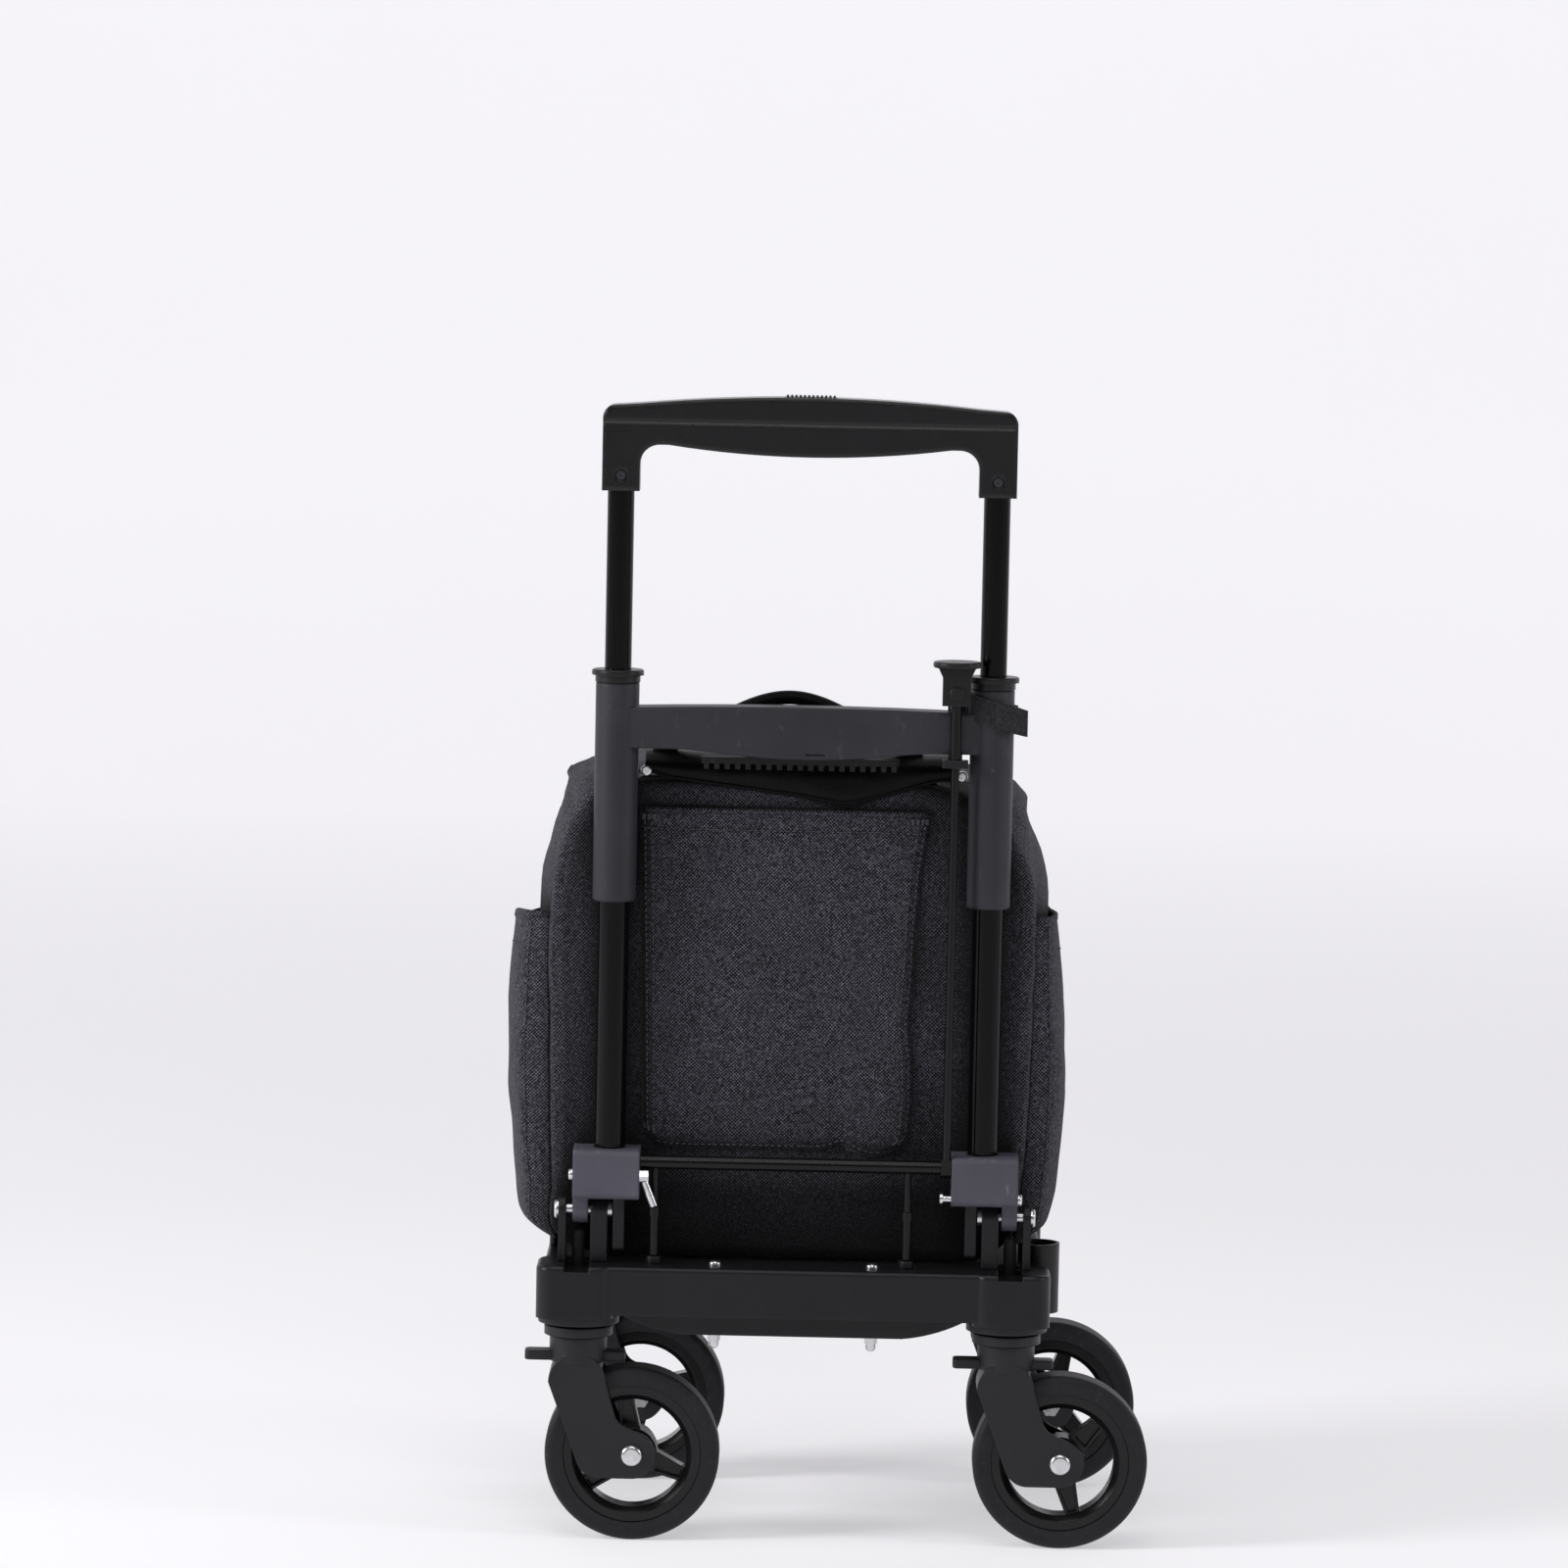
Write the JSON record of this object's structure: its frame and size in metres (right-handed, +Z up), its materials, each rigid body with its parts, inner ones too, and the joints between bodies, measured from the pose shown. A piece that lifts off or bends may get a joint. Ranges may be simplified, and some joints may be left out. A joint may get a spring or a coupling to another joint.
{
  "type": "pet stroller",
  "caption": "Folding pet stroller with a soft carrier bag, swivel casters, a telescopic handle and a fold lock.",
  "frame": {"origin": "on the floor under the middle of the bounding box", "axes": "+Z up, +X to the right of the user, who stands at -Y and pushes towards +Y"},
  "size_m": [0.4661, 0.2925, 0.8204],
  "materials": {
    "base_plastic": "satin moulded",
    "grip_plastic": "matt, fine grain",
    "handle_plastic": "semi-gloss, fine grain",
    "button_plastic": "matt",
    "collar_plastic": "satin",
    "caster_plastic": "satin moulded",
    "rim_plastic": "gloss",
    "tyre_rubber": "matt",
    "rib_rubber": "matt",
    "buffer_rubber": "matt",
    "black_tube": "gloss anodised black",
    "black_rod": "satin black",
    "zinc": "bright zinc",
    "black_screw": "black oxide",
    "inner_steel": "bright",
    "canvas": "coarse washed canvas",
    "nylon": "smooth nylon",
    "webbing": "woven webbing",
    "pad_fleece": "short pile fleece"
  },
  "bodies": {
    "chassis": {"base_frame": "base_plastic", "deck_lugs": "base_plastic", "tray_pan": "base_plastic", "umbrella_cup": "base_plastic", "deck_bolts": "zinc", "pivot_bolts": "zinc", "fold_stops": "buffer_rubber", "swivel_mounts": "caster_plastic", "caster_screws": "zinc", "swivel_bearings": "inner_steel"},
    "mast": {"post_left": "black_tube", "post_right": "black_tube", "hinge_bracket_left": "grip_plastic", "hinge_bracket_right": "grip_plastic", "bracket_bolts": "zinc", "post_feet": "base_plastic", "grip_frame": "grip_plastic", "finger_grip": "rib_rubber", "post_collars": "collar_plastic", "umbrella_strap": "webbing", "rod_guide": "collar_plastic", "bag_shell": "canvas", "floor_pad": "pad_fleece", "carry_handle": "webbing", "side_pockets": "canvas", "rear_pocket": "canvas", "top_flap": "nylon", "bag_screws": "zinc"},
    "fold_lock": {"pull_knob": "collar_plastic", "pull_rod": "black_rod", "cross_rod": "black_rod", "plungers": "black_rod"},
    "handle": {"handle_tubes": "black_tube", "handle_top": "handle_plastic", "handle_bottom": "handle_plastic", "handle_screws": "black_screw"},
    "button": {"release_button": "button_plastic", "release_rods": "inner_steel"},
    "lid": {"bag_lid": "canvas"},
    "caster_rear_left": {"fork_rear_left": "caster_plastic", "axle_bolt_rear_left": "zinc"},
    "wheel_rear_left": {"rim_rear_left": "rim_plastic", "tyre_rear_left": "tyre_rubber"},
    "lever_rear_left": {"lock_lever_rear_left": "caster_plastic"},
    "caster_rear_right": {"fork_rear_right": "caster_plastic", "axle_bolt_rear_right": "zinc"},
    "wheel_rear_right": {"rim_rear_right": "rim_plastic", "tyre_rear_right": "tyre_rubber"},
    "lever_rear_right": {"lock_lever_rear_right": "caster_plastic"},
    "caster_front_left": {"fork_front_left": "caster_plastic", "axle_bolt_front_left": "zinc"},
    "wheel_front_left": {"rim_front_left": "rim_plastic", "tyre_front_left": "tyre_rubber"},
    "lever_front_left": {"lock_lever_front_left": "caster_plastic"},
    "caster_front_right": {"fork_front_right": "caster_plastic", "axle_bolt_front_right": "zinc"},
    "wheel_front_right": {"rim_front_right": "rim_plastic", "tyre_front_right": "tyre_rubber"},
    "lever_front_right": {"lock_lever_front_right": "caster_plastic"}
  },
  "joints": [
    {"name": "mast_fold", "type": "hinge", "parent": "chassis", "child": "mast", "pos_m": [-0.0228, -0.11, 0.2366], "axis": [1, 0, 0], "range_deg": [-88, 0], "deforming": ["bag_shell", "bag_lid", "floor_pad", "carry_handle", "side_pockets", "rear_pocket", "top_flap"]},
    {"name": "handle_slide", "type": "slide", "parent": "mast", "child": "handle", "axis": [0, 0, 1], "range_m": [-0.108, 0.18]},
    {"name": "button_press", "type": "slide", "parent": "handle", "child": "button", "axis": [0, 0, 1], "range_m": [-0.003, 0], "stiffness_N_per_m": 1500, "springref_m": 0.004},
    {"name": "lock_pull", "type": "slide", "parent": "mast", "child": "fold_lock", "axis": [0, 0, 1], "range_m": [0, 0.005], "stiffness_N_per_m": 600, "springref_m": -0.004},
    {"name": "lid_open", "type": "hinge", "parent": "mast", "child": "lid", "pos_m": [-0.0228, 0.1258, 0.5585], "axis": [-1, 0, 0], "range_deg": [0, 110]},
    {"name": "swivel_rear_left", "type": "hinge", "parent": "chassis", "child": "caster_rear_left", "pos_m": [-0.1758, -0.11, 0.14], "axis": [0, 0, 1], "continuous": true},
    {"name": "roll_rear_left", "type": "hinge", "parent": "caster_rear_left", "child": "wheel_rear_left", "pos_m": [-0.1358, -0.11, 0.0625], "axis": [0, 1, 0], "continuous": true},
    {"name": "lever_rear_left", "type": "slide", "parent": "caster_rear_left", "child": "lever_rear_left", "axis": [1, 0, 0], "range_m": [0, 0.004]},
    {"name": "swivel_rear_right", "type": "hinge", "parent": "chassis", "child": "caster_rear_right", "pos_m": [0.1302, -0.11, 0.14], "axis": [0, 0, 1], "continuous": true},
    {"name": "roll_rear_right", "type": "hinge", "parent": "caster_rear_right", "child": "wheel_rear_right", "pos_m": [0.1702, -0.11, 0.0625], "axis": [0, 1, 0], "continuous": true},
    {"name": "lever_rear_right", "type": "slide", "parent": "caster_rear_right", "child": "lever_rear_right", "axis": [1, 0, 0], "range_m": [0, 0.004]},
    {"name": "swivel_front_left", "type": "hinge", "parent": "chassis", "child": "caster_front_left", "pos_m": [-0.1758, 0.11, 0.14], "axis": [0, 0, 1], "continuous": true},
    {"name": "roll_front_left", "type": "hinge", "parent": "caster_front_left", "child": "wheel_front_left", "pos_m": [-0.1358, 0.11, 0.0625], "axis": [0, 1, 0], "continuous": true},
    {"name": "lever_front_left", "type": "slide", "parent": "caster_front_left", "child": "lever_front_left", "axis": [1, 0, 0], "range_m": [0, 0.004]},
    {"name": "swivel_front_right", "type": "hinge", "parent": "chassis", "child": "caster_front_right", "pos_m": [0.1302, 0.11, 0.14], "axis": [0, 0, 1], "continuous": true},
    {"name": "roll_front_right", "type": "hinge", "parent": "caster_front_right", "child": "wheel_front_right", "pos_m": [0.1702, 0.11, 0.0625], "axis": [0, 1, 0], "continuous": true},
    {"name": "lever_front_right", "type": "slide", "parent": "caster_front_right", "child": "lever_front_right", "axis": [1, 0, 0], "range_m": [0, 0.004]}
  ]
}
